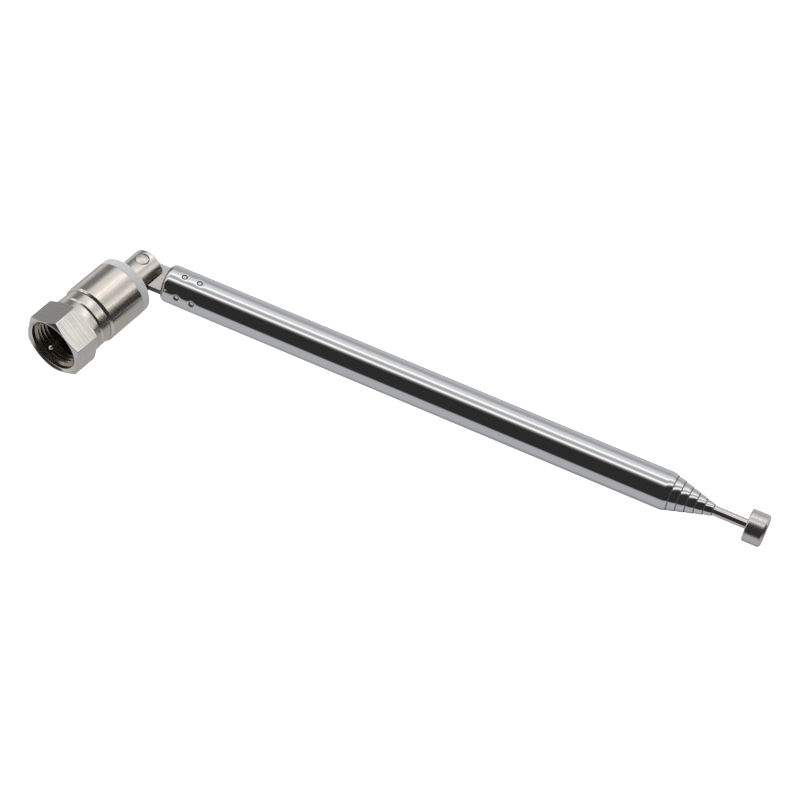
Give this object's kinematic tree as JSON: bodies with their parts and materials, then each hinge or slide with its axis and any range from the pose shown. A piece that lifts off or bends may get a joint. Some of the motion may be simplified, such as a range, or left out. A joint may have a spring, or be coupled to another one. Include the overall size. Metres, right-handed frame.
{
  "type": "telescopic antenna",
  "caption": "Telescopic whip antenna, chrome plated, on a bending and turning elbow with a screw-on coaxial plug.",
  "frame": {"origin": "centre of the coupling nut's front face, on the plug's axis", "axes": "+X along the plug towards the elbow, +Z along the elbow's hinge pin, and the closed whip points towards -Y"},
  "size_m": [0.0529, 0.1229, 0.0126],
  "materials": {
    "satin_nickel": "brushed nickel plate",
    "shell_nickel": "satin nickel plate with fine lines",
    "bright_nickel": "bright nickel plate",
    "chrome_plate": "mirror chrome plate",
    "cap_chrome": "turned chrome plate",
    "white_plastic": "matte moulded",
    "bead_plastic": "natural",
    "contact_plate": "nickel plated",
    "spring_brass": "plain",
    "spring_steel": "plain"
  },
  "bodies": {
    "plug": {"flanged_post": "satin_nickel", "plug_body": "satin_nickel", "plug_shell": "shell_nickel", "front_insulator": "bead_plastic", "centre_contact": "contact_plate", "contact_spring": "spring_brass", "rear_insulator": "white_plastic"},
    "nut": {"coupling_nut": "satin_nickel"},
    "swivel": {"swivel_knuckle": "bright_nickel", "hinge_rivet": "bright_nickel", "retaining_clip": "spring_steel", "spring_washer": "spring_steel"},
    "whip": {"elbow_tongue": "bright_nickel", "base_tube": "chrome_plate"},
    "stage_2": {"section_2": "chrome_plate", "section_spring_2": "spring_brass"},
    "stage_3": {"section_3": "chrome_plate", "section_spring_3": "spring_brass"},
    "stage_4": {"section_4": "chrome_plate", "section_spring_4": "spring_brass"},
    "stage_5": {"section_5": "chrome_plate", "section_spring_5": "spring_brass"},
    "stage_6": {"section_6": "chrome_plate", "section_spring_6": "spring_brass"},
    "tip": {"tip_rod": "chrome_plate", "tip_cap": "cap_chrome", "rod_spring": "spring_brass"}
  },
  "joints": [
    {"name": "nut_spin", "type": "hinge", "parent": "plug", "child": "nut", "pos_m": [0, 0, 0], "axis": [1, 0, 0], "continuous": true},
    {"name": "swivel_turn", "type": "hinge", "parent": "plug", "child": "swivel", "pos_m": [0.0196, 0, 0], "axis": [1, 0, 0], "continuous": true},
    {"name": "elbow_bend", "type": "hinge", "parent": "swivel", "child": "whip", "pos_m": [0.02375, 0, 0], "axis": [0, 0, 1], "range_deg": [-12, 168]},
    {"name": "slide_2", "type": "slide", "parent": "whip", "child": "stage_2", "axis": [0.2164, -0.9763, 0], "range_m": [0, 0.0838]},
    {"name": "slide_3", "type": "slide", "parent": "stage_2", "child": "stage_3", "axis": [0.2164, -0.9763, 0], "range_m": [0, 0.0815]},
    {"name": "slide_4", "type": "slide", "parent": "stage_3", "child": "stage_4", "axis": [0.2164, -0.9763, 0], "range_m": [0, 0.0792]},
    {"name": "slide_5", "type": "slide", "parent": "stage_4", "child": "stage_5", "axis": [0.2164, -0.9763, 0], "range_m": [0, 0.0769]},
    {"name": "slide_6", "type": "slide", "parent": "stage_5", "child": "stage_6", "axis": [0.2164, -0.9763, 0], "range_m": [0, 0.0746]},
    {"name": "tip_slide", "type": "slide", "parent": "stage_6", "child": "tip", "axis": [0.2164, -0.9763, 0], "range_m": [-0.0055, 0.0667]}
  ]
}
